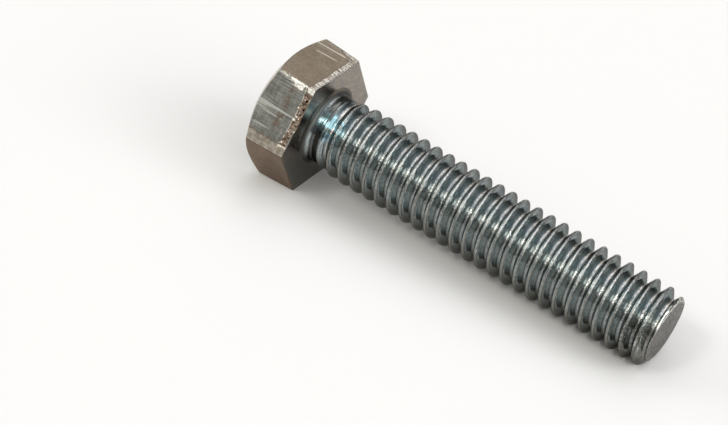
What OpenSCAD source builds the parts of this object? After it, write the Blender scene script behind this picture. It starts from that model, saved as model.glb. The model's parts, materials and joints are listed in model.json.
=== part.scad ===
// Hex tap bolt: a hexagon head and a shank that is threaded over its whole length.
// It is one forged and rolled piece. It lies as it comes to rest, on the edge of one
// flat of the head and on the last full crest of the thread.

/* [Thread] */
// Diameter over the thread crests
thread_d = 7.7; // [6.8:0.05:8.4]
// Axial distance from one crest to the next
thread_pitch = 1.411; // [1.25:0.001:1.6]
// Length from the bearing face to the end of the bolt
shank_len = 37.6; // [22:0.1:45]
// Width of the flat end face, measured as a diameter
point_d = 6.9; // [6.4:0.05:7.4]
// Length of the chamfer from the last full crest to the end face
point_len = 0.65; // [0.4:0.05:1.2]

/* [Neck] */
// Diameter of the plain neck under the head, which is the size of the rolling blank
neck_d = 6.9; // [6.6:0.05:7.3]
// Radius of the fillet between the neck and the bearing face
neck_fillet_r = 0.6; // [0.5:0.05:0.9]
// Distance from the bearing face to where the rolling dies first mark the neck
neck_len = 1.7; // [1.2:0.05:3]
// Length over which the thread grows from the plain neck to its full depth
runout_len = 1.45; // [0.8:0.05:3]

/* [Head] */
// Height of the head
head_h = 5.1; // [4:0.05:6.5]
// Distance across the flats, in the plane of the top of the head
across_flats = 12.62; // [12:0.02:13.6]
// Angle by which the trimmed flats lean in towards the bearing face
flat_draft = 3; // [0:0.1:4]
// Distance across the corners, which the round of the forging limits
across_corners = 14.4; // [14:0.05:15.6]
// Diameter of the flat circle on top of the head
top_circle_d = 10.5; // [9.5:0.1:11.4]
// Angle of the chamfer on top of the head, from the plane of the top
head_chamfer_angle = 30; // [20:1:40]

/* [Hidden] */
major_r = thread_d / 2;
neck_r = neck_d / 2;

// The 60 degree profile of the thread, with its crest and root rounded as rolled ones are
flank_half_angle = 30;
sharp_depth = thread_pitch / 2 / tan(flank_half_angle);
crest_round_r = sharp_depth / 8;
root_round_r = sharp_depth / 6;
minor_r = major_r - (sharp_depth - crest_round_r - root_round_r);
crest_half_w = crest_round_r * cos(flank_half_angle);
root_half_w = root_round_r * cos(flank_half_angle);
crest_edge_r = major_r - crest_round_r * (1 - sin(flank_half_angle));
root_edge_r = minor_r + root_round_r * (1 - sin(flank_half_angle));
// Each point is [distance along the axis from the crest, radius]
thread_profile = [
    [0, major_r],
    [crest_half_w, crest_edge_r],
    [thread_pitch / 2 - root_half_w, root_edge_r],
    [thread_pitch / 2, minor_r],
    [thread_pitch / 2 + root_half_w, root_edge_r],
    [thread_pitch - crest_half_w, crest_edge_r],
];
rows_per_turn = len(thread_profile);

// The first crest starts just clear of the fillet, on the side that is away from the viewer
start_gap = 0.06;
start_angle = 239;
start_z = neck_fillet_r + start_gap;
turns = ceil((shank_len - start_z) / thread_pitch) + 1;
// A long fine thread takes fewer facets to a turn, so that the model stays light
facet_budget = 10800;
finest_columns = 32;
coarsest_columns = 24;
columns = max(coarsest_columns, min(finest_columns, floor(facet_budget / (2 * rows_per_turn * turns))));
last_row = rows_per_turn * turns;

// Rings of the neck: one buried in the head, the fillet, and its end at the plain neck
buried_depth = 1;
fillet_steps = [75, 50, 25, 0];
neck_rings = concat(
    [[-buried_depth, fillet_radius_at(fillet_steps[0])]],
    [for (a = fillet_steps) [neck_fillet_r * (1 - sin(a)), fillet_radius_at(a)]]
);
ring_count = len(neck_rings);
grid_base = ring_count * columns;
cap_base = grid_base + columns * (last_row + 1);
cap_z = start_z + thread_pitch * (turns + 1) + start_gap;

// The head is a round blank with a chamfer, which six leaning cuts trim to a hexagon
corner_r = across_corners / 2;
top_circle_r = top_circle_d / 2;
corner_drop = (corner_r - top_circle_r) * tan(head_chamfer_angle);
bearing_half_w = across_flats / 2 - head_h * tan(flat_draft);

// The pose at rest: the edge of the lowest flat and the last full crest below touch the floor
lowest_side = 180;
first_low_crest_z = start_z + thread_pitch * (lowest_side - start_angle) / 360;
last_full_z = shank_len - point_len;
resting_crest_z = first_low_crest_z
    + thread_pitch * floor((last_full_z - first_low_crest_z) / thread_pitch);
rest_tilt = atan((bearing_half_w - major_r) / resting_crest_z);
rest_height = bearing_half_w * cos(rest_tilt);
tip_x = shank_len * cos(rest_tilt) + point_d / 2 * sin(rest_tilt);
head_x = -head_h * cos(rest_tilt) - top_circle_r * sin(rest_tilt);
centre_x = (tip_x + head_x) / 2;

// Radius of the neck fillet where its arc has still the angle a to turn
function fillet_radius_at(a) = neck_r + neck_fillet_r * (1 - cos(a));

// Share of its full depth that the thread has at the distance z from the bearing face
function depth_share(z) = max(0, min(1, (z - neck_len) / runout_len));

// Point on the axis's angle a at the height z and the radius r
function around(a, z, r) = [r * cos(a), r * sin(a), z];

// Angle of a column of the grid
function column_angle(i) = start_angle + 360 * i / columns;

// Point of the thread on column i and row j, where one turn climbs by one pitch
function thread_point(i, j) =
    let (
        p = thread_profile[j % rows_per_turn],
        z = start_z + thread_pitch * (floor(j / rows_per_turn) + i / columns) + p[0],
        r = neck_r + (p[1] - neck_r) * depth_share(z)
    )
    around(column_angle(i), z, r);

// Index of a ring's point, and of the thread's point, where the column after the last
// is the first one again, one turn further up
function ring_index(ring, i) = ring * columns + i % columns;
function grid_index(i, j) =
    grid_base + (i % columns) * (last_row + 1) + j + (i == columns ? rows_per_turn : 0);
function cap_index(i) = cap_base + i % columns;

// Two triangles between the corners of a patch, seen from outside
function patch(low_left, up_left, up_right, low_right) =
    [[low_left, up_left, up_right], [low_left, up_right, low_right]];

// Neck, runout and thread in one closed skin, which runs on past the end of the bolt
module threaded_blank() {
    points = concat(
        [for (ring = neck_rings, i = [0 : columns - 1]) around(column_angle(i), ring[0], ring[1])],
        [for (i = [0 : columns - 1], j = [0 : last_row]) thread_point(i, j)],
        [for (i = [0 : columns - 1]) around(column_angle(i), cap_z, minor_r)]
    );
    end_column = columns - 1;
    neck_faces = [
        for (ring = [0 : ring_count - 2], i = [0 : end_column])
            each patch(ring_index(ring, i), ring_index(ring + 1, i),
                       ring_index(ring + 1, i + 1), ring_index(ring, i + 1))
    ];
    thread_faces = [
        for (i = [0 : end_column], j = [0 : last_row - 1 - (i == end_column ? rows_per_turn : 0)])
            each patch(grid_index(i, j), grid_index(i, j + 1),
                       grid_index(i + 1, j + 1), grid_index(i + 1, j))
    ];
    start_faces = concat(
        [for (i = [0 : end_column - 1])
            each patch(ring_index(ring_count - 1, i), grid_index(i, 0),
                       grid_index(i + 1, 0), ring_index(ring_count - 1, i + 1))],
        patch(ring_index(ring_count - 1, end_column), grid_index(end_column, 0),
              grid_index(0, 0), ring_index(ring_count - 1, 0)),
        [for (j = [0 : rows_per_turn - 1])
            [grid_index(end_column, 0), grid_index(0, j + 1), grid_index(0, j)]]
    );
    end_faces = concat(
        [for (i = [0 : end_column - 1])
            each patch(grid_index(i, last_row), cap_index(i),
                       cap_index(i + 1), grid_index(i + 1, last_row))],
        [for (j = [last_row - rows_per_turn : last_row - 1])
            [grid_index(end_column, j), grid_index(end_column, j + 1), grid_index(0, last_row)]],
        patch(grid_index(end_column, last_row), cap_index(end_column),
              cap_index(0), grid_index(0, last_row))
    );
    caps = [
        [for (i = [0 : end_column]) ring_index(0, i)],
        [for (i = [end_column : -1 : 0]) cap_index(i)]
    ];
    polyhedron(points = points, faces = concat(neck_faces, thread_faces, start_faces, end_faces, caps),
               convexity = 10);
}

// Everything inside the chamfered point: the cone runs out past the crests
module point_envelope() {
    wide_r = major_r + 1;
    cone_slope = point_len / (major_r - point_d / 2);
    rotate_extrude($fn = 96)
        polygon([
            [0, -buried_depth - 1],
            [wide_r, -buried_depth - 1],
            [wide_r, shank_len - cone_slope * (wide_r - point_d / 2)],
            [point_d / 2, shank_len],
            [0, shank_len]
        ]);
}

// Neck and thread, cut to length with a chamfered point
module shank() {
    color([0.47, 0.52, 0.54])
        intersection() {
            threaded_blank();
            point_envelope();
        }
}

// Round head blank with the chamfer on top, hanging down from the bearing plane
module head_blank() {
    rotate_extrude($fn = 96)
        polygon([
            [0, 0],
            [corner_r, 0],
            [corner_r, corner_drop - head_h],
            [top_circle_r, -head_h],
            [0, -head_h]
        ]);
}

// Hexagon head with its flats trimmed at the draft angle
module head() {
    cut = across_corners;
    color([0.55, 0.52, 0.49])
        difference() {
            head_blank();
            for (k = [0 : 5])
                rotate([0, 0, 60 * k])
                    translate([across_flats / 2, 0, -head_h])
                        rotate([0, -flat_draft, 0])
                            translate([0, -cut / 2, -cut / 2])
                                cube([cut, cut, 2 * cut]);
        }
}

// Bolt on its own axis, with the bearing face at z = 0 and the thread upwards
module bolt_on_axis() {
    union() {
        head();
        shank();
    }
}

// Bolt as it lies at rest, with the point towards +X
module tap_bolt() {
    translate([-centre_x, 0, rest_height])
        rotate([0, 90 + rest_tilt, 0])
            rotate([0, 0, 180])
                bolt_on_axis();
}

tap_bolt();
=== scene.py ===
# Hex tap bolt, zinc plated, lying on a pale floor: the finished mesh, its materials, the
# light and the camera. Lengths are millimetres on the bolt's own axes until place() turns
# them into metres in the frame. There x is the normal of the top flat, y points across
# the bolt and z runs along it, from the bearing face towards the point.
import json
import math
from types import SimpleNamespace

import bmesh
import bpy
import numpy as np
from mathutils import Matrix, Vector, noise


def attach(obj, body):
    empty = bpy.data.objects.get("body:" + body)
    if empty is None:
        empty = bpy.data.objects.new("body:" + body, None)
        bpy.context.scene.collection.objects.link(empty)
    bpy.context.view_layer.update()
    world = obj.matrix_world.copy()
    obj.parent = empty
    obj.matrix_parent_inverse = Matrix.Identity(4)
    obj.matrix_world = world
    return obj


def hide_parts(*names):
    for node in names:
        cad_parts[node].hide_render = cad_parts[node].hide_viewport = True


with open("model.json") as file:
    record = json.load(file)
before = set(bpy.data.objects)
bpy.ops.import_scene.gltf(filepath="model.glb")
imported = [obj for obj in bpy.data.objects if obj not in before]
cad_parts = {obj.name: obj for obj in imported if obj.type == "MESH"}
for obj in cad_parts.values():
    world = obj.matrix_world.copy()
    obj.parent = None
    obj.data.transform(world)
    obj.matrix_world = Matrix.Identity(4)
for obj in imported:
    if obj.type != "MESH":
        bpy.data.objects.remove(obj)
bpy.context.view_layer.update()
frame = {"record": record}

# Frame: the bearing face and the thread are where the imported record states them
mounts = {m["name"]: m for m in frame["record"]["mounts"]}
BEARING_CENTRE = Vector(mounts["bearing_face"]["pos_m"])
ALONG = Vector(mounts["bearing_face"]["axis"]).normalized()
ACROSS = Vector((0.0, -1.0, 0.0))
UPWARD = ACROSS.cross(ALONG)
MM = 0.001

# Thread
MAJOR_R = mounts["thread"]["dims"]["r_mm"]
PITCH = 25.4 / 18
SHANK_LEN = 37.6
CREST_START_Z = 0.66
CREST_START_ANGLE = 239.0
FLANK_HALF_ANGLE = math.radians(30.0)
CREST_WEAR = 0.03
CREST_WEAR_REACH = 0.13

# Point: the last crest is pressed flat, and then comes the chamfer
LAST_CREST_Z = 35.6
POINT_LEN = 0.65
POINT_START_R = 3.76
POINT_R = 3.45
POINT_ROUND = 0.06

# The end was cut off a little askew, and its rim is worn most where the last crest runs out
END_SHIFT = 0.12
END_TILT = 0.04
END_HIGH_ANGLE = 47.0
WORN_RIM_ANGLE = 352.0
WORN_RIM_R = 0.32

# Neck, and the stations at which the grooves and the crests start and reach their full size
NECK_R = 3.45
NECK_FILLET_R = 0.6
GROOVES_START, GROOVES_FULL = 0.6, 2.6
CRESTS_START, CRESTS_FULL = 1.2, 3.5

# Head
HEAD_H = 5.1
TOP_HALF_W = 12.62 / 2
FLAT_DRAFT = math.radians(3.0)
FORGED_R = 14.4 / 2
FORGED_BLEND = 0.12
TOP_CIRCLE_R = 10.5 / 2
CHAMFER_SLOPE = math.tan(math.radians(30.0))
EDGE_ROUND = 0.08
CORNER_ROUND = 0.2
CORNER_NICK = 0.03
FLAT_ANGLE = 60.0
TOP_FLAT = 0
MIDDLE_FLAT = 1
LOWER_FLAT = 2
HATCHED_FLATS = (MIDDLE_FLAT, 4)

# Torn band that trimming left along the bearing edge of the middle flat
BAND_WIDTH = 0.62
BAND_END = 2.62
BAND_DEPTH = 0.17
PIT_DEPTH = 0.22
CHIP_RISE = 0.12
# Pits and bright chips of the band, as (sideways, along, radius)
PITS = [(-2.27, -0.28, 0.16), (-1.4, -0.2, 0.15), (-1.85, -0.42, 0.09), (-0.85, -0.24, 0.08)]
PITS += [(-2.8, -0.5, 0.08), (0.35, -0.28, 0.07), (1.75, -0.36, 0.07), (2.05, -0.6, 0.06)]
BRIGHT_CHIPS = [(-0.11, -0.6, 0.17), (-0.47, -0.52, 0.13), (2.37, -0.76, 0.14), (1.11, -0.56, 0.1)]

# Grid of the shank, and the extra rings that it gets near the end face and the bearing face
THREAD_COLUMNS = 144
CREST_ARC = [-60, -35, -12, 12, 35, 60]
ROOT_ARC = [-60, -30, 0, 30, 60]
RINGS_BEFORE_END = (0.015, 0.04, 0.075, 0.13, 0.2, 0.28, 0.36, 0.5)
RINGS_ON_FILLET = (0.01, 0.03, 0.07, 0.14, 0.24)
END_FACE_RINGS = (0.97, 0.85, 0.6, 0.3)

# Grid of the head. Rings are given as shares of the way over each of its surfaces
CORNER_STEPS = [0.0, 0.35, 0.8, 1.4, 2.2]
CORNER_GAP = 0.9
FLAT_STEPS = 70
NECK_GAP = 0.12
BEARING_RINGS = (0.0, 0.08, 0.2, 0.35, 0.5, 0.65, 0.8, 0.92, 1.0)
EDGE_TURNS = (30.0, 60.0)
TORN_RINGS = np.linspace(0.0, 0.3, 26)
PLAIN_RINGS = np.append(np.linspace(0.3, 0.975, 24)[1:], 0.99)
CHAMFER_RINGS = (0.03, 0.08, 0.2, 0.4, 0.6, 0.8, 0.93, 0.985)
TOP_RINGS = (0.985, 0.95, 0.9, 0.8, 0.7, 0.6, 0.5, 0.4, 0.3, 0.2, 0.1)
SHARP_ANGLE = math.radians(38.0)


def place(points):
    """Frame points, in metres, of an array of points on the bolt's own axes, in mm."""
    axes = np.array([UPWARD, ACROSS, ALONG])
    return np.array(BEARING_CENTRE) + MM * np.asarray(points, float) @ axes


def smoothstep(edge_a, edge_b, value):
    """0 at edge_a, 1 at edge_b, and an even rise between them."""
    t = np.clip((np.asarray(value, float) - edge_a) / (edge_b - edge_a), 0.0, 1.0)
    return t * t * (3.0 - 2.0 * t)


def smooth_min(a, b, blend):
    """The smaller of a and b, with a round of about the width blend where they cross."""
    h = np.clip(0.5 + 0.5 * (b - a) / blend, 0.0, 1.0)
    return b + (a - b) * h - blend * h * (1.0 - h)


def grain(points, scale, octaves=2, seed=0.0):
    """Fractal noise, about -1 to 1, at each point of an array whose last axis is x, y, z."""
    points = np.asarray(points, float)
    flat = points.reshape(-1, 3) * scale + np.array([seed, -seed, 0.5 * seed])
    values = [noise.fractal(Vector(p), 1.0, 2.0, octaves, noise_basis="PERLIN_ORIGINAL") for p in flat]
    return np.array(values).reshape(points.shape[:-1])


# Shank: a sheared grid whose rows follow the crests and roots along the helix
SHARP_DEPTH = PITCH / 2 / math.tan(FLANK_HALF_ANGLE)
CREST_ROUND_R = SHARP_DEPTH / 8
ROOT_ROUND_R = SHARP_DEPTH / 6
MINOR_R = MAJOR_R - (SHARP_DEPTH - CREST_ROUND_R - ROOT_ROUND_R)
CREST_HALF_W = CREST_ROUND_R * math.cos(FLANK_HALF_ANGLE)
ROOT_HALF_W = ROOT_ROUND_R * math.cos(FLANK_HALF_ANGLE)


def profile_rows():
    """The rows of one pitch, as distances from its first row: arcs on crest and root, flanks between."""
    crest = CREST_ROUND_R * np.sin(np.radians(CREST_ARC))
    root = PITCH / 2 + ROOT_ROUND_R * np.sin(np.radians(ROOT_ARC))
    flank_middle = 0.5 * (crest[-1] + root[0])
    rows = np.concatenate([crest, [flank_middle], root, [PITCH - flank_middle]])
    return rows - crest[0]


def thread_radius(distance):
    """Radius of the full thread at distances along the axis from a crest."""
    d = np.abs((distance + PITCH / 2) % PITCH - PITCH / 2)
    on_crest = MAJOR_R - CREST_ROUND_R + np.sqrt(np.maximum(CREST_ROUND_R ** 2 - d ** 2, 0))
    from_root = PITCH / 2 - d
    on_root = MINOR_R + ROOT_ROUND_R - np.sqrt(np.maximum(ROOT_ROUND_R ** 2 - from_root ** 2, 0))
    crest_edge_r = MAJOR_R - CREST_ROUND_R * (1 - math.sin(FLANK_HALF_ANGLE))
    on_flank = crest_edge_r - (d - CREST_HALF_W) / math.tan(FLANK_HALF_ANGLE)
    return np.where(d < CREST_HALF_W, on_crest, np.where(from_root < ROOT_HALF_W, on_root, on_flank))


def end_z(x, y):
    """Distance from the bearing face to the askew end face at x and y."""
    high = math.radians(END_HIGH_ANGLE)
    return SHANK_LEN + END_SHIFT + END_TILT * (x * math.cos(high) + y * math.sin(high))


def bearing_z(x, y):
    """Distance from the bearing face to itself, for the calls that also take end_z."""
    return 0.0


def end_rim_radius(angle):
    """Radius of the rounded rim of the end face, which is ragged."""
    off = np.abs((angle - WORN_RIM_ANGLE + 180) % 360 - 180)
    a = np.radians(angle)
    ragged = 0.5 + 0.25 * np.sin(13 * a + 1.0) + 0.25 * np.sin(31 * a + 2.0)
    return POINT_ROUND * (0.6 + ragged) + WORN_RIM_R * smoothstep(70, 35, off) * (0.45 + 0.55 * ragged)


def share_between(start, full, z):
    """0 at the station start and 1 at the station full, with a straight rise between them."""
    return np.clip((z - start) / (full - start), 0.0, 1.0)


def shank_radius(angle, z):
    """Radius of neck, runout, thread and point at angles in degrees and distances from the bearing face."""
    crest_z = CREST_START_Z + PITCH * (angle - CREST_START_ANGLE) / 360
    over_neck = thread_radius(z - crest_z) - NECK_R
    groove_share = share_between(GROOVES_START, GROOVES_FULL, z)
    crest_share = share_between(CRESTS_START, CRESTS_FULL, z)
    r = NECK_R + over_neck * np.where(over_neck < 0, groove_share, crest_share)
    in_fillet = NECK_FILLET_R - np.clip(z, 0.0, NECK_FILLET_R)
    r = r + NECK_FILLET_R - np.sqrt(np.maximum(NECK_FILLET_R ** 2 - in_fillet ** 2, 0))
    pressed_slope = (MAJOR_R - POINT_START_R) / (SHANK_LEN - POINT_LEN - LAST_CREST_Z)
    r = smooth_min(r, MAJOR_R + (LAST_CREST_Z - z) * pressed_slope + 0.01, 0.02)
    chamfer_slope = (POINT_START_R - POINT_R) / POINT_LEN
    r = smooth_min(r, POINT_R + (SHANK_LEN - z) * chamfer_slope, 0.04)
    a = np.radians(angle)
    rim_r = end_rim_radius(angle)
    into_rim = np.clip(rim_r + z - end_z(POINT_R * np.cos(a), POINT_R * np.sin(a)), 0.0, rim_r)
    return r - (rim_r - np.sqrt(np.maximum(rim_r ** 2 - into_rim ** 2, 0)))


def around(radius, angle, z):
    """Points at radii, angles in degrees and distances from the bearing face."""
    a = np.radians(angle)
    return np.stack(np.broadcast_arrays(radius * np.cos(a), radius * np.sin(a), z), axis=-1)


def add_shank(bm):
    """Adds the shank as a sheared grid, from below the bearing plane to past the point."""
    rows = profile_rows()
    per_turn = len(rows)
    last_turn = math.ceil(SHANK_LEN / PITCH) + 1
    stations = np.concatenate([rows + PITCH * turn for turn in range(-2, last_turn)])
    angles = CREST_START_ANGLE + 360.0 * np.arange(THREAD_COLUMNS) / THREAD_COLUMNS
    crest_z = CREST_START_Z + PITCH * (angles - CREST_START_ANGLE) / 360
    z = crest_z[:, None] - CREST_HALF_W + stations[None, :]
    r = shank_radius(angles[:, None], z)
    # The crests are rough, as rolling leaves them: a little lower, and more so in places
    near_crest = smoothstep(MAJOR_R - CREST_WEAR_REACH, MAJOR_R - 0.01, r)
    wear = 0.25 + 0.75 * np.clip(0.5 + grain(around(r, angles[:, None], z), 2.3, 3, 3.0), 0, 1)
    points = around(r - CREST_WEAR * near_crest * wear, angles[:, None], z)
    verts = [[bm.verts.new(p) for p in column] for column in points]
    for i in range(THREAD_COLUMNS):
        at_seam = i == THREAD_COLUMNS - 1
        right = verts[0] if at_seam else verts[i + 1]
        step = per_turn if at_seam else 0
        for j in range(len(stations) - 1 - step):
            bm.faces.new((verts[i][j], right[j + step], right[j + 1 + step], verts[i][j + 1]))


def cut(bm, surface_z, offset, keep):
    """Cuts the mesh at a flat surface, moved by the offset. keep is "both", "below" or "above"."""
    z = surface_z(0, 0)
    bmesh.ops.bisect_plane(
        bm, geom=bm.verts[:] + bm.edges[:] + bm.faces[:], dist=1e-6,
        plane_co=(0, 0, z + offset), plane_no=(z - surface_z(1, 0), z - surface_z(0, 1), 1),
        clear_outer=keep == "below", clear_inner=keep == "above")


def open_ring(bm, surface_z):
    """The open edges that lie in a flat surface."""
    return [e for e in bm.edges if e.is_boundary
            and all(abs(v.co.z - surface_z(v.co.x, v.co.y)) < 1e-4 for v in e.verts)]


def scale_about_axis(v, scale):
    """Moves a vertex nearer to the bolt's axis or further from it."""
    v.co.x *= scale
    v.co.y *= scale


def settle_on_form(bm, low, high):
    """Puts the vertices between two stations exactly on the shank's form."""
    for v in bm.verts:
        if low < v.co.z < high:
            angle = math.degrees(math.atan2(v.co.y, v.co.x))
            turns = round((CREST_START_ANGLE - angle) / 360)
            form_r = float(shank_radius(angle + 360 * turns, v.co.z))
            scale_about_axis(v, form_r / math.hypot(v.co.x, v.co.y))


def add_end_face(bm, edges):
    """Closes the open ring of edges at the point with a flat end face of a few rings."""
    for v in {v for e in edges for v in e.verts}:
        v.co.z = end_z(v.co.x, v.co.y)
    for share in END_FACE_RINGS:
        made = bmesh.ops.extrude_edge_only(bm, edges=edges)["geom"]
        edges = [g for g in made if isinstance(g, bmesh.types.BMEdge)]
        for v in [g for g in made if isinstance(g, bmesh.types.BMVert)]:
            scale_about_axis(v, MINOR_R * share / math.hypot(v.co.x, v.co.y))
            v.co.z = end_z(v.co.x, v.co.y)
    bmesh.ops.contextual_create(bm, geom=edges)


# Head: rings round the same axis, from the bearing face over the sides to the top

def head_angles():
    """Angles of the head's columns, which stand closer together at the corners."""
    near = np.array(CORNER_STEPS)
    gap = near[-1] + CORNER_GAP
    one = np.concatenate([near, np.linspace(gap, FLAT_ANGLE - gap, FLAT_STEPS), FLAT_ANGLE - near[:0:-1]])
    return np.concatenate([FLAT_ANGLE * k - FLAT_ANGLE / 2 + one for k in range(6)])


def spots_share(spots, s, z, core):
    """1 in the core of round spots given as (sideways, along, radius), and 0 outside them."""
    share = 0 * s
    for spot_s, spot_z, spot_r in spots:
        off = np.hypot(s - spot_s, z - spot_z)
        share = np.maximum(share, smoothstep(spot_r, core * spot_r, off))
    return share


def torn_band(s, z):
    """Depth of the torn band at places on the middle flat, where it is (2 in its pits) and its chips."""
    places = np.stack([s, z, 0 * s], axis=-1)
    ragged = 0.06 * grain(places, 3.2, 2, 11.0)
    width = BAND_WIDTH + 0.02 * (s + 0.4) ** 2 + 1.5 * ragged
    inside = smoothstep(0.05, -0.03, -z - width) * smoothstep(0.05, -0.04, s - BAND_END - ragged)
    # Past the middle a narrow strip at the very edge was only bent, and isn't torn
    strip = smoothstep(0.6, 1.0, s) * smoothstep(0.17, 0.12, -z)
    lumps = 0.085 * grain(places, 4.2, 3, 5.0)
    pitted = spots_share(PITS, s, z, 0.4)
    bright = spots_share(BRIGHT_CHIPS, s, z, 0.5)
    depth = BAND_DEPTH + 0.08 * smoothstep(-0.6, 0.4, s) + lumps + PIT_DEPTH * pitted - CHIP_RISE * bright
    return inside * (depth * (1 - strip) + 0.1 * strip), inside * (1 - strip) * (1 + pitted), bright


def corner_chips(s, z):
    """Depth of the torn chips on the edge between the top flat and the middle flat."""
    from_corner = s + 3.5
    places = np.stack([s, z, 0 * s], axis=-1)
    reach = 0.10 + 0.55 * smoothstep(-2.7, -1.25, z) * smoothstep(-0.98, -1.15, z)
    reach = reach + 0.42 * smoothstep(-0.8, -0.5, z)
    reach = reach + 0.07 * grain(places, 3.6, 2, 21.0)
    inside = smoothstep(0.05, -0.04, from_corner - reach) * smoothstep(-3.9, -2.9, z)
    facets = (0.055 + 0.075 * grain(places, 5.0, 2, 8.0)) * (0.35 + 0.65 * smoothstep(-0.7, -1.0, z))
    return inside * np.maximum(facets, 0.005), inside * smoothstep(-2.8, -2.5, z)


def sheared_edge(s, z):
    """Depth of the toothed strip along the bearing edge of the top flat."""
    places = np.stack([s, 0.25 * z, 0 * s], axis=-1)
    reach = 0.56 + 0.13 * grain(places, 3.4, 2, 31.0) + 0.45 * smoothstep(-2.5, -3.2, s)
    share = np.clip(1 + z / reach, 0, 1)
    teeth = 0.5 + 0.9 * grain(places, 3.0, 1, 41.0)
    return share * (0.07 + 0.02 * np.clip(teeth, 0, 1)), smoothstep(0.0, 0.2, share)


def top_flat_corner(s, z):
    """Depth of the chipped patch where the top flat ends in the far corner of the bearing edge."""
    places = np.stack([s, z, 0 * s], axis=-1)
    edge = (s + 2.45) * 0.9 + (-z - 0.25) * 0.55
    inside = smoothstep(0.1, -0.1, edge + 0.18 * grain(places, 2.6, 2, 51.0))
    return inside * (0.05 + 0.06 * grain(places, 3.8, 2, 61.0)), inside


def flat_wear(k, s, z):
    """Depth taken off flat k at places on it, and how far each place is torn and how far it is chipped."""
    if k == MIDDLE_FLAT:
        band, torn, bright = torn_band(s, z)
        chips, chipped = corner_chips(s, z)
        return np.maximum(band, chips), torn * (1 - chipped), np.maximum(chipped, bright)
    if k == TOP_FLAT:
        strip, toothed = sheared_edge(s, z)
        patch, chipped = top_flat_corner(s, z)
        return np.maximum(strip, patch), 0 * s, np.maximum(toothed, chipped)
    return 0 * s, 0 * s, 0 * s


def hexagon_radius(angles, half_w):
    """Radius of a hexagon with rounded corners, and the angle in radians from each column to its corner."""
    half_turn = math.radians(FLAT_ANGLE / 2)
    off_middle = (angles + FLAT_ANGLE / 2) % FLAT_ANGLE - FLAT_ANGLE / 2
    from_corner = np.radians(FLAT_ANGLE / 2 - np.abs(off_middle))
    flat_r = half_w / np.cos(np.radians(off_middle))
    # Each corner is an arc about a centre on the corner's own radius
    corner_r = half_w / math.cos(half_turn)
    arc_centre = corner_r - CORNER_ROUND / math.cos(half_turn)
    aside = arc_centre * np.sin(from_corner)
    arc_r = arc_centre * np.cos(from_corner) + np.sqrt(np.maximum(CORNER_ROUND ** 2 - aside ** 2, 0))
    tangent = CORNER_ROUND * math.tan(half_turn)
    in_arc = from_corner < tangent * math.cos(half_turn) / (corner_r - tangent * math.sin(half_turn))
    return np.where(in_arc, arc_r, flat_r), from_corner


def side_form(angles, z):
    """Radius of the head's side at each column, with how far it is torn and chipped there."""
    half_w = TOP_HALF_W - (z + HEAD_H) * math.tan(FLAT_DRAFT)
    wear = 0.0 * angles
    torn = 0.0 * angles
    chipped = 0.0 * angles
    for k in range(6):
        off_middle = (angles - FLAT_ANGLE * k + 180) % 360 - 180
        on_flat = np.abs(off_middle) <= FLAT_ANGLE / 2 + 0.001
        s = half_w * np.tan(np.radians(np.where(on_flat, off_middle, 0)))
        found = flat_wear(k, s, z + 0 * s)
        for total, part in zip((wear, torn, chipped), found):
            total[on_flat] = np.maximum(total, part)[on_flat]
    r, from_corner = hexagon_radius(angles, half_w)
    knocks = np.clip(grain(around(r, angles, z), 1.1, 3, 71.0), 0, 1)
    nicks = CORNER_NICK * knocks * smoothstep(0.035, 0.0, from_corner)
    return smooth_min(r, FORGED_R + 0 * r, FORGED_BLEND) - wear - nicks, torn, chipped


def head_rings():
    """Every ring of the head, from the bearing face outwards, down the sides and over the top."""
    angles = head_angles()
    edge, torn, chipped = side_form(angles, 0.0)
    plain = 0.0 * angles
    inner = NECK_R + NECK_FILLET_R + NECK_GAP
    rings = []
    for share in BEARING_RINGS:
        rings.append((around(inner + (edge - EDGE_ROUND - inner) * share, angles, 0.0), plain, plain))
    # The bearing edge is rounded, and then the side runs to the chamfer
    for turn in EDGE_TURNS:
        sink = EDGE_ROUND * (1 - math.cos(math.radians(turn)))
        r = side_form(angles, -sink)[0] - EDGE_ROUND * (1 - math.sin(math.radians(turn)))
        rings.append((around(r, angles, -sink), torn, chipped))
    chamfer_z = (side_form(angles, 1.0 - HEAD_H)[0] - TOP_CIRCLE_R) * CHAMFER_SLOPE - HEAD_H
    for share in np.concatenate([TORN_RINGS, PLAIN_RINGS]):
        z = -EDGE_ROUND + (chamfer_z + EDGE_ROUND) * share
        r, torn, chipped = side_form(angles, z)
        rings.append((around(r, angles, z), torn, chipped))
    rim = side_form(angles, chamfer_z)[0]
    for share in CHAMFER_RINGS:
        r = rim + (TOP_CIRCLE_R - rim) * share
        rings.append((around(r, angles, (r - TOP_CIRCLE_R) * CHAMFER_SLOPE - HEAD_H), plain, plain))
    for share in TOP_RINGS:
        rings.append((around(TOP_CIRCLE_R * share + plain, angles, -HEAD_H), plain, plain))
    return rings


def add_head(bm, torn_layer, chip_layer):
    """Adds the head and returns the open edges of its innermost ring on the bearing face."""
    rings = []
    for points, torn, chipped in head_rings():
        ring = [bm.verts.new(p) for p in points]
        for v, t, c in zip(ring, torn, chipped):
            v[torn_layer] = float(t)
            v[chip_layer] = float(c)
        rings.append(ring)
    for low, high in zip(rings, rings[1:]):
        for i in range(len(low)):
            k = (i + 1) % len(low)
            bm.faces.new((low[i], high[i], high[k], low[k]))
    bm.faces.new(list(reversed(rings[-1])))
    first = set(rings[0])
    return [e for e in bm.edges if e.is_boundary and e.verts[0] in first and e.verts[1] in first]


SLOTS = ["thread", "end_face", "bearing_face", "head_top"] + ["flat_%d" % k for k in range(6)]


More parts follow.
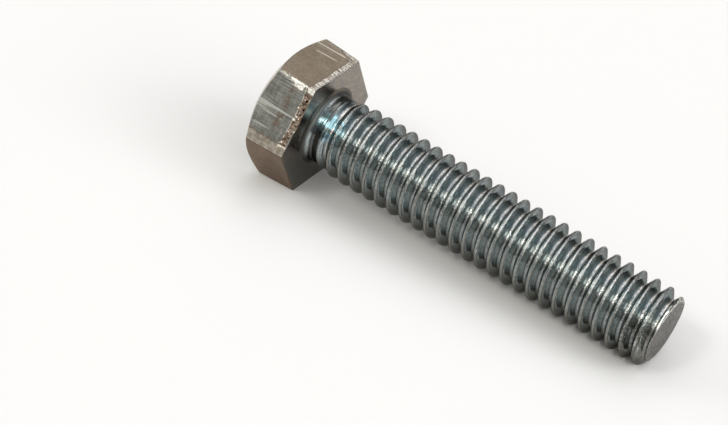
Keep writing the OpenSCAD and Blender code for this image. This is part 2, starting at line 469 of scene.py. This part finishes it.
def surface_of(face):
    """Number of the material slot that a face takes, from where its middle lies on the bolt."""
    c = face.calc_center_median()
    r = math.hypot(c.x, c.y)
    if c.z > end_z(c.x, c.y) - 2e-3:
        return SLOTS.index("end_face")
    if c.z > 1e-4 or (c.z > -1e-3 and r < NECK_R + NECK_FILLET_R + NECK_GAP / 2):
        return SLOTS.index("thread")
    if c.z > -1e-4:
        return SLOTS.index("bearing_face")
    if c.z < max(r - TOP_CIRCLE_R, 0.0) * CHAMFER_SLOPE - HEAD_H + 0.02:
        return SLOTS.index("head_top")
    k = round(math.degrees(math.atan2(c.y, c.x)) / FLAT_ANGLE) % 6
    return SLOTS.index("flat_%d" % k)


def build_bolt():
    """The whole bolt as one closed mesh object in the frame."""
    bm = bmesh.new()
    torn_layer = bm.verts.layers.float.new("torn")
    chip_layer = bm.verts.layers.float.new("chipped")
    add_shank(bm)
    cut(bm, end_z, 0.0, "below")
    for back in RINGS_BEFORE_END:
        cut(bm, end_z, -back, "both")
    cut(bm, bearing_z, 0.0, "above")
    for up in RINGS_ON_FILLET:
        cut(bm, bearing_z, up, "both")
    end_ring = open_ring(bm, end_z)
    settle_on_form(bm, -1e-4, NECK_FILLET_R)
    settle_on_form(bm, SHANK_LEN - 0.6, SHANK_LEN + 1.0)
    add_end_face(bm, end_ring)
    neck_ring = open_ring(bm, bearing_z)
    head_ring = add_head(bm, torn_layer, chip_layer)
    bmesh.ops.bridge_loops(bm, edges=neck_ring + head_ring)
    bmesh.ops.triangulate(bm, faces=[f for f in bm.faces if len(f.verts) > 4])
    bmesh.ops.recalc_face_normals(bm, faces=bm.faces[:])
    for f in bm.faces:
        f.material_index = surface_of(f)
        f.smooth = True
    for v, p in zip(bm.verts, place([v.co[:] for v in bm.verts])):
        v.co = p
    mesh = bpy.data.meshes.new("finished_bolt")
    bm.to_mesh(mesh)
    bm.free()
    mesh.set_sharp_from_angle(angle=SHARP_ANGLE)
    bolt = bpy.data.objects.new("finished_bolt", mesh)
    bpy.context.scene.collection.objects.link(bolt)
    return bolt


# Materials

class Nodes:
    """Short ways to make the nodes of a tree and to link them."""

    def __init__(self, tree):
        self.tree = tree

    def node(self, kind, inputs=(), **settings):
        """A node with its settings, and inputs that are sockets or plain values."""
        made = self.tree.nodes.new(kind)
        for key, value in settings.items():
            setattr(made, key, value)
        for key, value in dict(inputs).items():
            self.put(made.inputs[key], value)
        return made

    def put(self, socket, value):
        """Links a socket to the input, or writes a plain value to it."""
        if isinstance(value, bpy.types.NodeSocket):
            self.tree.links.new(value, socket)
        else:
            socket.default_value = value

    def math(self, operation, a, b=0.0):
        return self.node("ShaderNodeMath", {0: a, 1: b}, operation=operation).outputs[0]

    def plus(self, a, b):
        return self.math("ADD", a, b)

    def minus(self, a, b):
        return self.math("SUBTRACT", a, b)

    def times(self, first, *others):
        """The product of two or more values."""
        for other in others:
            first = self.math("MULTIPLY", first, other)
        return first

    def larger(self, a, b):
        return self.math("MAXIMUM", a, b)

    def vector_math(self, operation, a, b):
        return self.node("ShaderNodeVectorMath", {0: a, 1: b}, operation=operation)


class Surface(Nodes):
    """A metal material under construction. Its patterns are in mm on the bolt's own axes."""

    def __init__(self, name):
        self.material = bpy.data.materials.new(name)
        self.material.use_nodes = True
        super().__init__(self.material.node_tree)
        self.shader = self.tree.nodes["Principled BSDF"]
        self.shader.inputs["Metallic"].default_value = 1.0

    def edge_tint(self, colour):
        """Sets the colour that the metal takes towards its edges."""
        self.shader.inputs["Specular Tint"].default_value = (*colour, 1.0)

    def smooth(self, value, low, high):
        """0 at low and 1 at high, with an even rise between them."""
        return self.node("ShaderNodeMapRange", {"Value": value, "From Min": low, "From Max": high},
                         interpolation_type="SMOOTHSTEP").outputs[0]

    def scaled(self, value, low, high):
        """A value of 0 to 1, spread over low to high."""
        return self.node("ShaderNodeMapRange", {"Value": value, "To Min": low, "To Max": high}).outputs[0]

    def between(self, value, start, full, still, end):
        """0 up to start, 1 from full to still, and 0 again from end on."""
        return self.times(self.smooth(value, start, full), self.smooth(value, end, still))

    def wave(self, phase, centre):
        """1 where the phase is at the centre, and -1 half a turn from it."""
        return self.math("COSINE", self.times(self.minus(phase, centre), 2 * math.pi))

    def mix(self, share, a, b):
        """Colour a, with b over it by the share."""
        made = self.node("ShaderNodeMix", {0: share}, data_type="RGBA")
        for socket, colour in ((made.inputs[6], a), (made.inputs[7], b)):
            self.put(socket, colour if isinstance(colour, bpy.types.NodeSocket) else (*colour, 1.0))
        return made.outputs[2]

    def over(self, colour, share, top, amount=1.0):
        """The colour with another one on top of it, by the share times the amount."""
        return self.mix(share if amount == 1.0 else self.scaled(share, 0, amount), colour, top)

    def noise(self, vector, scale, detail=2.0, roughness=0.55):
        """Noise of 0 to 1 with a mean of one half."""
        return self.node("ShaderNodeTexNoise", {"Vector": vector, "Scale": scale, "Detail": detail,
                                                "Roughness": roughness}).outputs["Fac"]

    def stretched(self, vector, x, y, z):
        return self.vector_math("MULTIPLY", vector, (x, y, z)).outputs[0]

    def attribute(self, name):
        return self.node("ShaderNodeAttribute", attribute_name=name).outputs["Fac"]

    def bolt_axes(self, turn=0.0):
        """Place on the bolt's own axes in mm, turned about its length by an angle in degrees."""
        a = math.radians(turn)
        outward = UPWARD * math.cos(a) + ACROSS * math.sin(a)
        sideways = ACROSS * math.cos(a) - UPWARD * math.sin(a)
        rotation = Matrix((outward, sideways, ALONG)).transposed().to_euler()
        place_in_frame = self.node("ShaderNodeTexCoord").outputs["Object"]
        return self.node("ShaderNodeMapping", {"Vector": place_in_frame, "Location": BEARING_CENTRE,
                                               "Rotation": rotation, "Scale": (MM, MM, MM)},
                         vector_type="TEXTURE").outputs[0]

    def parts(self, vector):
        return self.node("ShaderNodeSeparateXYZ", {0: vector}).outputs

    def finish(self, colour, roughness, height_mm):
        """Links the colour, the roughness and a height in mm to the shader."""
        bump = self.node("ShaderNodeBump", {"Height": height_mm, "Distance": MM, "Strength": 1.0})
        self.put(self.shader.inputs["Base Color"], colour)
        self.put(self.shader.inputs["Roughness"], roughness)
        self.put(self.shader.inputs["Normal"], bump.outputs[0])
        return self.material


# Zinc on the neck, the thread and the point

def thread_regions(m, p):
    """Shares of 0 to 1 that say where on the shank a place is, and the patterns that its parts use."""
    at = SimpleNamespace()
    at.x, at.y, at.z = m.parts(p)
    turn = m.math("DIVIDE", m.math("ARCTAN2", at.y, at.x), 2 * math.pi)
    crests_past = m.minus(m.math("DIVIDE", at.z, PITCH), turn)
    # The phase is 0 on a crest, one half in a root and 1 on the next crest towards the point
    phase = m.plus(crests_past, CREST_START_ANGLE / 360 - CREST_START_Z / PITCH)
    # The lower side and the far side, on which the colours paint light and shade
    at.below = m.smooth(at.x, 2.8, 0.9)
    at.far = m.smooth(at.y, -0.5, -3.0)
    at.cloud = m.noise(p, 0.9, 3.0)
    at.speck = m.noise(p, 5.2, 2.0, 0.6)
    at.flake = m.noise(m.stretched(p, 1.0, 1.0, 1.6), 3.6, 3.0, 0.65)
    # Rolling burnished the crests, and the roots on the side that faces the head. The lines are also
    # painted highlights, set where the light falls, and the crest line is shifted on the far side
    threaded = m.smooth(at.z, 0.9, 2.2)
    crest_phase = m.plus(phase, m.scaled(at.far, -0.06, 0.04))
    at.crest_wave = m.plus(m.wave(crest_phase, 0.0), m.scaled(at.flake, -0.16, 0.12))
    at.crest = m.times(m.smooth(at.crest_wave, 0.82, 0.97), threaded, m.smooth(at.y, -2.9, -2.2))
    root_wave = m.plus(m.wave(phase, 0.61), m.scaled(at.flake, -0.4, 0.3))
    at.root = m.times(m.smooth(root_wave, 0.52, 0.88), threaded)
    at.root_bottom = m.times(m.smooth(m.wave(phase, 0.5), 0.8, 0.95), threaded)
    # Painted shade: the flanks that face the point are darkened in their middle on the upper near side, and
    # nearer to the root below
    above = m.minus(1.0, at.below)
    at.hollow = m.times(m.smooth(m.wave(phase, 0.32), 0.72, 0.94), m.smooth(at.y, -1.5, 0.3), above)
    at.low_hollow = m.times(m.smooth(m.wave(phase, 0.42), 0.8, 0.96), at.below)
    at.neck = m.between(at.z, 0.4, 0.8, 2.4, 3.6)
    at.rings = m.noise(m.stretched(p, 0.5, 0.5, 6.5), 1.0, 2.0, 0.6)
    return at


def flank_colour(m, at):
    """Speckled blue-grey, paler below as painted light, and darker in the flanks' middles and brownish
    underneath and on the far side as painted shade.
    """
    colour = m.mix(m.smooth(at.cloud, 0.35, 0.7), (0.245, 0.295, 0.305), (0.295, 0.34, 0.345))
    colour = m.over(colour, m.smooth(at.speck, 0.5, 0.6), (0.48, 0.5, 0.49), 0.6)
    colour = m.over(colour, m.smooth(at.speck, 0.48, 0.38), (0.12, 0.14, 0.14), 0.65)
    # Painted light makes the lower flanks paler; painted shade darkens the flanks' middles, the far side
    # and the underside
    colour = m.over(colour, at.below, (0.46, 0.51, 0.51), 0.25)
    colour = m.over(colour, at.low_hollow, (0.09, 0.105, 0.105), 0.65)
    colour = m.over(colour, at.hollow, (0.065, 0.09, 0.098), 0.85)
    colour = m.over(colour, at.far, (0.115, 0.108, 0.098), 0.7)
    return m.over(colour, m.smooth(at.x, 0.4, -2.2), (0.1, 0.095, 0.082), 0.8)


def burnished_colour(m, at, colour):
    """Bright crests and roots with flaky edges: burnished lines that are also painted highlights, lighter
    on the far crests and duller below as painted light and shade, and dark brown backs of the far crests as
    painted shade.
    """
    # Painted light makes the far crests lighter, and painted shade makes crests and roots duller below
    crest_colour = m.mix(at.far, (0.44, 0.45, 0.44), (0.7, 0.71, 0.69))
    crest_colour = m.mix(at.below, crest_colour, (0.23, 0.22, 0.195))
    root_colour = m.mix(at.below, (0.97, 0.965, 0.94), (0.42, 0.43, 0.41))
    colour = m.over(colour, m.times(at.crest, m.smooth(at.flake, 0.3, 0.52)), crest_colour)
    colour = m.over(colour, m.times(at.root, m.smooth(at.flake, 0.2, 0.42)), root_colour)
    # The last crest before the point is brown and speckled on its lower side
    last_crest = m.times(m.smooth(at.z, SHANK_LEN - 3.0, SHANK_LEN - 2.4), m.smooth(at.x, 2.4, 1.4))
    colour = m.over(colour, m.times(last_crest, m.smooth(at.speck, 0.58, 0.5)), (0.1, 0.088, 0.072), 0.65)
    # Painted shade: the backs of the far crests are dark brown
    back = m.times(m.smooth(at.crest_wave, 0.5, 0.85), m.smooth(at.y, -2.3, -2.9))
    return m.over(colour, back, (0.1, 0.072, 0.052), 0.85)


def neck_colour(m, p, at, colour):
    """Blue tints of the passivated zinc on the upper side of the neck, painted where its highlight falls,
    dark fine rings round it, and a dark band below that is painted shade.
    """
    # The blue tint is painted on the upper side, where the neck's highlight falls
    upper_side = m.times(m.smooth(at.y, 0.8, 1.8), m.smooth(at.x, 0.6, 1.8))
    tinted = m.times(upper_side, m.smooth(m.noise(p, 1.4, 2.0), 0.4, 0.55))
    colour = m.over(colour, m.times(m.scaled(at.neck, 0, 0.75), tinted), (0.42, 0.74, 0.86))
    dark_rings = m.times(m.smooth(at.rings, 0.5, 0.36), m.scaled(at.neck, 0, 0.55))
    colour = m.over(colour, dark_rings, (0.12, 0.13, 0.13))
    # Painted shade: a dark band on the lower side of the neck
    shaded = m.times(m.between(at.z, 0.45, 0.75, 1.3, 1.8), m.smooth(at.x, 2.5, 1.5))
    return m.over(colour, shaded, (0.07, 0.07, 0.065), 0.85)


def rim_and_fillet_colour(m, at, colour):
    """A worn rim round the end face, painted bright above as a highlight and grey below, and painted shade
    that makes the fillet as dark as the bearing face beside it.
    """
    # The worn rim is painted as a bright highlight on the upper side, and grey below
    rim = m.times(m.smooth(at.z, SHANK_LEN - 0.42, SHANK_LEN - 0.1), m.smooth(at.flake, 0.35, 0.5))
    colour = m.over(colour, rim, m.mix(at.below, (0.74, 0.72, 0.67), (0.3, 0.29, 0.265)), 0.8)
    # Painted shade darkens the fillet in the crease next to the bearing face
    fillet_colour = m.mix(m.smooth(at.z, 0.01, 0.08), (0.205, 0.185, 0.165), (0.1, 0.096, 0.09))
    return m.over(colour, m.smooth(at.z, 0.4, 0.12), fillet_colour)


def thread_roughness(m, at):
    """The dull places: the fillet, the middle of the dark flanks and the far side off its crests."""
    roughness = m.plus(m.scaled(at.speck, 0.1, 0.2), m.times(at.crest, 0.06))
    roughness = m.plus(roughness, m.scaled(m.smooth(at.z, 0.6, 0.1), 0, 0.22))
    roughness = m.plus(roughness, m.times(at.hollow, 0.18))
    far_off_crest = m.minus(at.far, m.times(at.far, at.crest))
    return m.plus(roughness, m.times(far_off_crest, 0.3))


def thread_height(m, at):
    """Grain everywhere, rings round the neck, and flakes on the crests and at the bottom of the roots."""
    grainy = m.plus(m.times(at.speck, 0.006), m.times(at.rings, at.neck, 0.035))
    return m.plus(grainy, m.times(m.larger(at.crest, at.root_bottom), at.flake, 0.055))


def thread_zinc():
    """Blue-grey zinc on the neck, the thread and the point, with flaky crests."""
    m = Surface("zinc_on_thread")
    m.edge_tint((0.5, 0.5, 0.49))
    p = m.bolt_axes()
    at = thread_regions(m, p)
    colour = burnished_colour(m, at, flank_colour(m, at))
    colour = neck_colour(m, p, at, colour)
    colour = rim_and_fillet_colour(m, at, colour)
    return m.finish(colour, thread_roughness(m, at), thread_height(m, at))


# Metal of the head and of the end face

def end_face_metal():
    """Matte mottled grey on the end face."""
    m = Surface("end_face_metal")
    p = m.bolt_axes()
    cloud = m.noise(p, 1.1, 4.0)
    speck = m.noise(p, 4.6, 2.0, 0.6)
    colour = m.mix(m.smooth(cloud, 0.3, 0.7), (0.105, 0.1, 0.092), (0.14, 0.134, 0.124))
    colour = m.over(colour, m.smooth(speck, 0.51, 0.56), (0.25, 0.238, 0.218), 0.9)
    colour = m.over(colour, m.smooth(speck, 0.48, 0.42), (0.04, 0.037, 0.033), 0.9)
    return m.finish(colour, m.scaled(speck, 0.4, 0.6), m.times(speck, 0.035))


def bearing_metal():
    """Smooth bearing face, mottled with faint warm and cool clouds, and darker on its lower side as painted
    shade.
    """
    m = Surface("bearing_face_metal")
    p = m.bolt_axes()
    x, y, z = m.parts(p)
    warm = m.noise(p, 0.8, 3.0)
    cool = m.noise(p, 1.7, 3.0)
    speck = m.noise(p, 4.8, 2.0, 0.6)
    colour = m.mix(m.smooth(warm, 0.38, 0.6), (0.18, 0.158, 0.145), (0.245, 0.2, 0.155))
    colour = m.over(colour, m.smooth(cool, 0.5, 0.66), (0.195, 0.205, 0.195), 0.8)
    colour = m.over(colour, m.smooth(speck, 0.5, 0.6), (0.34, 0.295, 0.235), 0.6)
    colour = m.over(colour, m.smooth(speck, 0.48, 0.38), (0.11, 0.097, 0.085), 0.6)
    # Painted shade on the lower side of the bearing face
    colour = m.over(colour, m.smooth(x, 1.5, -2.5), (0.08, 0.092, 0.085), 0.6)
    return m.finish(colour, m.scaled(speck, 0.16, 0.3), m.times(speck, 0.009))


# Colours of fresh metal in chips, from its dull to its bright places
FRESH_METAL = ((0.6, 0.55, 0.47), (0.95, 0.93, 0.86))


def torn_brown(m, lumps, flecks, torn_there, lip):
    """Lumpy brown of torn metal, with light flecks, black pits and a light lip round it."""
    brown = m.mix(m.smooth(lumps, 0.35, 0.65), (0.10, 0.068, 0.048), (0.36, 0.275, 0.21))
    brown = m.over(brown, m.smooth(flecks, 0.58, 0.66), (0.72, 0.68, 0.60))
    brown = m.over(brown, m.smooth(torn_there, 1.2, 1.6), (0.012, 0.01, 0.01))
    return m.over(brown, m.times(lip, m.smooth(flecks, 0.3, 0.5)), (0.68, 0.63, 0.55))


def with_torn_metal(m, p, colour, roughness, height, fresh_colours=FRESH_METAL):
    """The colour, roughness and height, with torn metal and chips over them where the mesh has them."""
    lumps = m.noise(p, 3.4, 3.0, 0.65)
    flecks = m.noise(p, 6.0, 2.0, 0.6)
    torn_there = m.attribute("torn")
    chipped_there = m.attribute("chipped")
    torn = m.smooth(torn_there, 0.3, 0.7)
    chipped = m.smooth(chipped_there, 0.3, 0.7)
    lip = m.between(torn_there, 0.04, 0.2, 0.4, 0.75)
    # Chips have a thin brown outline in places
    outline = m.times(m.smooth(chipped_there, 0.03, 0.15), m.smooth(lumps, 0.4, 0.55))
    colour = m.over(colour, outline, (0.17, 0.12, 0.09), 0.8)
    colour = m.over(colour, m.larger(torn, lip), torn_brown(m, lumps, flecks, torn_there, lip))
    colour = m.over(colour, chipped, m.mix(m.smooth(lumps, 0.3, 0.5), *fresh_colours))
    roughness = m.larger(roughness, m.times(torn, 0.4))
    height = m.plus(height, m.times(m.larger(torn, chipped), lumps, 0.09))
    return colour, roughness, height


def scratch(m, s, z, start, end, half_w):
    """A light scratch along the bolt, between two places given as (sideways, along) in mm."""
    slope = (end[0] - start[0]) / (end[1] - start[1])
    line = m.plus(m.times(m.minus(z, start[1]), slope), start[0])
    off = m.math("ABSOLUTE", m.minus(s, line))
    ends = m.between(z, start[1] - 0.2, start[1] + 0.2, end[1] - 0.2, end[1] + 0.2)
    return m.times(m.smooth(off, half_w, 0.3 * half_w), ends)


def fine_lines(m, p, seed, across=False):
    """Fine lines along the bolt or across it, as noise of 0 to 1, as dragging over the die leaves them."""
    moved = m.vector_math("ADD", p, (seed, seed, seed)).outputs[0]
    stretch = (1.0, 0.5, 6.5) if across else (1.0, 6.5, 0.45)
    return m.noise(m.stretched(moved, *stretch), 1.0, 3.0, 0.6)


# Colours of a smooth flat: its two shades, its lines and its flecks
WARM_GREY = ((0.216, 0.182, 0.141), (0.254, 0.219, 0.173), (0.44, 0.41, 0.35), (0.5, 0.47, 0.41))
# Painted shade of the lower flat: dark brown in place of the warm grey
SHADED_BROWN = ((0.088, 0.045, 0.022), (0.13, 0.078, 0.044), (0.23, 0.17, 0.125), (0.27, 0.21, 0.165))


def top_flat_scratches(m, s, z, along):
    """Three light scratches near the far edge of the top flat, broken by the fine lines."""
    long_one = scratch(m, s, z, (-2.44, -4.5), (-2.75, -0.97), 0.13)
    short_one = scratch(m, s, z, (-1.42, -3.5), (-1.64, -1.3), 0.1)
    faint_one = scratch(m, s, z, (-2.15, -3.9), (-2.35, -2.2), 0.05)
    scratched = m.larger(m.larger(long_one, short_one), m.times(faint_one, 0.6))
    return m.times(scratched, m.smooth(along, 0.25, 0.42))


def toothed_metal(m, p):
    """Fresh metal of the sheared edge, with fine teeth along the bolt, as a dull and a bright colour."""
    teeth = m.noise(m.stretched(p, 1.0, 3.6, 0.5), 1.0, 1.0, 0.5)
    return (m.mix(m.smooth(teeth, 0.42, 0.54), (0.22, 0.18, 0.14), (0.52, 0.49, 0.43)),
            m.mix(m.smooth(teeth, 0.44, 0.56), (0.4, 0.36, 0.3), (0.8, 0.785, 0.72)))


def smooth_flat(k):
    """A smooth flat with fine lines: warm grey, and on the lower side dark brown, which is painted shade.
    """
    m = Surface("flat_%d_metal" % k)
    p = m.bolt_axes(FLAT_ANGLE * k)
    x, s, z = m.parts(p)
    cloud = m.noise(p, 0.7, 3.0)
    speck = m.noise(p, 6.0, 3.0, 0.7)
    along = fine_lines(m, p, 3.0 * k)
    darker, lighter, line_colour, fleck_colour = SHADED_BROWN if k == LOWER_FLAT else WARM_GREY
    colour = m.mix(m.smooth(cloud, 0.35, 0.7), darker, lighter)
    colour = m.over(colour, m.smooth(along, 0.55, 0.75), line_colour, 0.35)
    colour = m.over(colour, m.smooth(speck, 0.52, 0.72), fleck_colour, 0.4)
    colour = m.over(colour, m.smooth(speck, 0.45, 0.3), (0.12, 0.095, 0.07), 0.4)
    height = m.times(speck, 0.006)
    fresh_colours = FRESH_METAL
    if k == TOP_FLAT:
        scratched = top_flat_scratches(m, s, z, along)
        colour = m.over(colour, scratched, (0.66, 0.64, 0.565), 0.9)
        rubbed_edge = m.times(m.smooth(s, -2.5, -3.0), m.smooth(along, 0.4, 0.6))
        colour = m.over(colour, rubbed_edge, (0.5, 0.47, 0.41), 0.45)
        height = m.plus(height, m.times(scratched, -0.012))
        fresh_colours = toothed_metal(m, p)
    # The lower flat's painted shade gets a warm edge tint, and is lighter towards the bearing edge at one
    # end
    if k == LOWER_FLAT:
        m.edge_tint((0.94, 0.88, 0.82))
        lighter_part = m.times(m.smooth(z, -1.9, -0.2), m.smooth(s, 3.2, -1.5))
        colour = m.over(colour, lighter_part, (0.148, 0.118, 0.09), 0.6)
    roughness = m.plus(m.scaled(speck, 0.2, 0.34), m.times(m.smooth(along, 0.55, 0.75), 0.08))
    return m.finish(*with_torn_metal(m, p, colour, roughness, height, fresh_colours))


def hatching(m, p):
    """How light each place of a hatched flat is: broken lines both ways, and blotches."""
    patchy = m.scaled(m.smooth(m.noise(p, 1.9, 2.0), 0.35, 0.65), 0.3, 1.0)
    cross_lines = m.times(m.smooth(fine_lines(m, p, 5.0, across=True), 0.42, 0.62), patchy)
    axial_lines = m.scaled(m.smooth(fine_lines(m, p, 5.0), 0.38, 0.66), 0, 0.42)
    blotches = m.scaled(m.smooth(m.noise(p, 3.4, 3.0, 0.65), 0.38, 0.62), 0, 0.24)
    return m.plus(m.plus(axial_lines, blotches), m.scaled(cross_lines, 0, 0.44))


def brown_streak(m, p, s, z, cloud):
    """The broken brown streak beside the torn band."""
    lane = m.between(z, -2.45, -2.05, -1.75, -1.45)
    reach = m.between(s, -3.0, -2.5, 1.3, 1.9)
    pieces = m.smooth(m.noise(m.stretched(p, 1.0, 0.6, 1.0), 2.6, 3.0), 0.38, 0.54)
    return m.times(lane, reach, m.smooth(cloud, 0.36, 0.46), pieces)


def hatched_flat(k):
    """The flat that was dragged over the die: grey, with lines both ways, a streak and a beige band."""
    m = Surface("flat_%d_metal" % k)
    p = m.bolt_axes(FLAT_ANGLE * k)
    x, s, z = m.parts(p)
    cloud = m.noise(p, 1.3, 3.0)
    speck = m.noise(p, 7.0, 3.0, 0.7)
    weave = hatching(m, p)
    colour = m.mix(weave, (0.17, 0.174, 0.16), (0.405, 0.4, 0.37))
    long_lines = m.noise(m.stretched(p, 1.0, 2.6, 0.12), 1.0, 1.0, 0.4)
    colour = m.over(colour, m.smooth(long_lines, 0.60, 0.68), (0.70, 0.695, 0.65), 0.7)
    colour = m.over(colour, brown_streak(m, p, s, z, cloud), (0.2, 0.14, 0.105), 0.75)
    # Smooth beige band next to the lower flat, with a brown line beside it
    band = m.smooth(m.plus(s, m.scaled(cloud, -0.35, 0.35)), 2.4, 2.75)
    beige = m.mix(m.smooth(m.noise(p, 2.2, 3.0), 0.35, 0.65), (0.34, 0.29, 0.235), (0.57, 0.515, 0.44))
    colour = m.over(colour, band, beige, 0.9)
    off_line = m.math("ABSOLUTE", m.minus(s, 2.5))
    line = m.times(m.smooth(off_line, 0.16, 0.03), m.smooth(z, -0.9, -1.3), m.smooth(speck, 0.4, 0.55))
    colour = m.over(colour, line, (0.22, 0.155, 0.115))
    roughness = m.scaled(m.plus(m.times(speck, 0.5), m.times(weave, 0.5)), 0.24, 0.44)
    height = m.plus(m.times(speck, 0.004), m.times(weave, 0.012))
    return m.finish(*with_torn_metal(m, p, colour, roughness, height))


def head_top_metal():
    """Top of the head: a bright chamfer with faint straw and blue tints, and a scuffed grey circle."""
    m = Surface("head_top_metal")
    p = m.bolt_axes()
    x, y, z = m.parts(p)
    radius = m.math("SQRT", m.plus(m.times(x, x), m.times(y, y)))
    chamfer = m.smooth(radius, TOP_CIRCLE_R - 0.06, TOP_CIRCLE_R + 0.06)
    cloud = m.noise(p, 0.55, 3.0)
    patches = m.noise(p, 0.3, 2.0)
    speck = m.noise(p, 5.0, 4.0, 0.7)
    scuff = m.noise(m.stretched(p, 2.4, 0.7, 1.0), 1.3, 4.0, 0.7)
    circle = m.mix(m.smooth(cloud, 0.35, 0.65), (0.215, 0.215, 0.205), (0.30, 0.295, 0.28))
    worn = m.times(m.smooth(radius, 3.6, 1.2), m.smooth(scuff, 0.45, 0.6))
    circle = m.over(circle, worn, (0.42, 0.41, 0.385))
    tint = m.mix(m.smooth(patches, 0.4, 0.6), (0.47, 0.41, 0.33), (0.36, 0.42, 0.45))
    tint = m.over(tint, m.smooth(cloud, 0.5, 0.7), (0.46, 0.36, 0.34), 0.6)
    colour = m.mix(chamfer, circle, tint)
    colour = m.over(colour, m.smooth(speck, 0.6, 0.8), (0.5, 0.48, 0.44), 0.4)
    roughness = m.minus(m.scaled(speck, 0.36, 0.55), m.times(chamfer, 0.2))
    height = m.plus(m.times(speck, 0.006), m.times(worn, -0.012))
    return m.finish(colour, roughness, height)


def bolt_materials():
    """One material for each name in SLOTS."""
    made = {"thread": thread_zinc(), "end_face": end_face_metal(), "bearing_face": bearing_metal(),
            "head_top": head_top_metal()}
    for k in range(6):
        made["flat_%d" % k] = hatched_flat(k) if k in HATCHED_FLATS else smooth_flat(k)
    return [made[name] for name in SLOTS]


# Studio: a pale floor, soft light painted on the sky, and the photograph's camera
FLOOR_SIZE = 2.0
FLOOR_COLOUR = (0.86, 0.86, 0.865)


def add_floor():
    """A pale matte floor under the bolt."""
    bpy.ops.mesh.primitive_plane_add(size=FLOOR_SIZE, location=(0, 0, 0))
    floor = bpy.context.object
    floor.name = "floor"
    material = bpy.data.materials.new("pale_floor")
    material.use_nodes = True
    shader = material.node_tree.nodes["Principled BSDF"]
    shader.inputs["Base Color"].default_value = (*FLOOR_COLOUR, 1)
    shader.inputs["Roughness"].default_value = 0.9
    shader.inputs["Specular IOR Level"].default_value = 0.0
    floor.data.materials.append(material)


# Soft lights: compass angle from +X, angle above the floor, sharpness, colour
SOFT_LIGHTS = [
    (12, 29, 34, (4.2, 4.2, 4.1)),
    (8, 46, 16, (1.5, 1.6, 1.65)),
    (70, 58, 12, (0.5, 0.5, 0.5)),
    (112, 62, 20, (1.15, 1.08, 1.1)),
    (30, 78, 12, (0.76, 0.7, 0.74)),
    (118, 38, 14, (0.58, 0.53, 0.46)),
    (-165, 62, 50, (1.1, 1.35, 1.35)),
    (178, 34, 25, (0.4, 0.38, 0.35)),
    (-117, 16, 12, (0.62, 0.62, 0.58)),
    (-176, 13, 60, (4.6, 4.45, 4.1)),
    (-153, 34, 70, (3.9, 3.8, 3.6)),
    (-113, 49, 200, (19.0, 18.3, 16.8)),
    (-88, 50, 70, (2.4, 2.35, 2.2)),
    (-58, 45, 70, (2.2, 2.15, 2.0)),
    (-36, 34, 70, (2.6, 2.5, 2.3)),
    (-16, 19, 60, (3.8, 3.65, 3.4)),
]
AMBIENT = 0.09


def direction_of(azimuth, elevation):
    """Unit vector towards a compass angle and an angle above the floor, in degrees."""
    a = math.radians(azimuth)
    e = math.radians(elevation)
    return (math.cos(e) * math.cos(a), math.cos(e) * math.sin(a), math.sin(e))


def add_sky():
    """A dim sky with soft lights on it, each fading evenly with the angle from its middle."""
    world = bpy.data.worlds.new("studio")
    bpy.context.scene.world = world
    world.use_nodes = True
    sky = Nodes(world.node_tree)
    background = sky.tree.nodes["Background"]
    place_on_sky = sky.node("ShaderNodeTexCoord").outputs["Generated"]
    direction = sky.node("ShaderNodeVectorMath", {0: place_on_sky}, operation="NORMALIZE").outputs[0]
    total = sky.node("ShaderNodeCombineXYZ", {0: AMBIENT, 1: AMBIENT, 2: AMBIENT}).outputs[0]
    for azimuth, elevation, sharpness, colour in SOFT_LIGHTS:
        middle = direction_of(azimuth, elevation)
        nearness = sky.vector_math("DOT_PRODUCT", direction, middle).outputs["Value"]
        falloff = sky.math("EXPONENT", sky.times(sky.minus(nearness, 1.0), sharpness))
        total = sky.node("ShaderNodeVectorMath", {0: colour, 1: falloff, 2: total},
                         operation="MULTIPLY_ADD").outputs[0]
    sky.put(background.inputs["Color"], total)
    background.inputs["Strength"].default_value = 1.0


# Camera, from a fit of the thread's outline, on the bolt's own axes in mm
CAMERA_PLACE = (123.433, 141.231, 78.158)
CAMERA_AHEAD = Vector((-0.38941, 0.68838, -0.61196))
CAMERA_UP = Vector((-0.44819, 0.43882, 0.77882))
FOCAL_PIXELS = 2158.95
PHOTO_WIDTH = 728


def add_camera():
    """The camera at the photograph's place and angle of view."""
    ahead = CAMERA_AHEAD.normalized()
    right = ahead.cross(CAMERA_UP).normalized()
    rotation = Matrix((right, right.cross(ahead), -ahead)).transposed().to_4x4()
    data = bpy.data.cameras.new("camera")
    data.sensor_fit = "HORIZONTAL"
    data.sensor_width = 36.0
    data.lens = data.sensor_width * FOCAL_PIXELS / PHOTO_WIDTH
    data.clip_start = 0.01
    camera = bpy.data.objects.new("camera", data)
    camera.matrix_world = Matrix.Translation(Vector(place([CAMERA_PLACE])[0])) @ rotation
    bpy.context.scene.collection.objects.link(camera)
    bpy.context.scene.camera = camera


bolt = build_bolt()
for material in bolt_materials():
    bolt.data.materials.append(material)
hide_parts("tap_bolt")
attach(bolt, "root")
add_floor()
add_sky()
add_camera()

bpy.context.scene.view_settings.view_transform = "Standard"
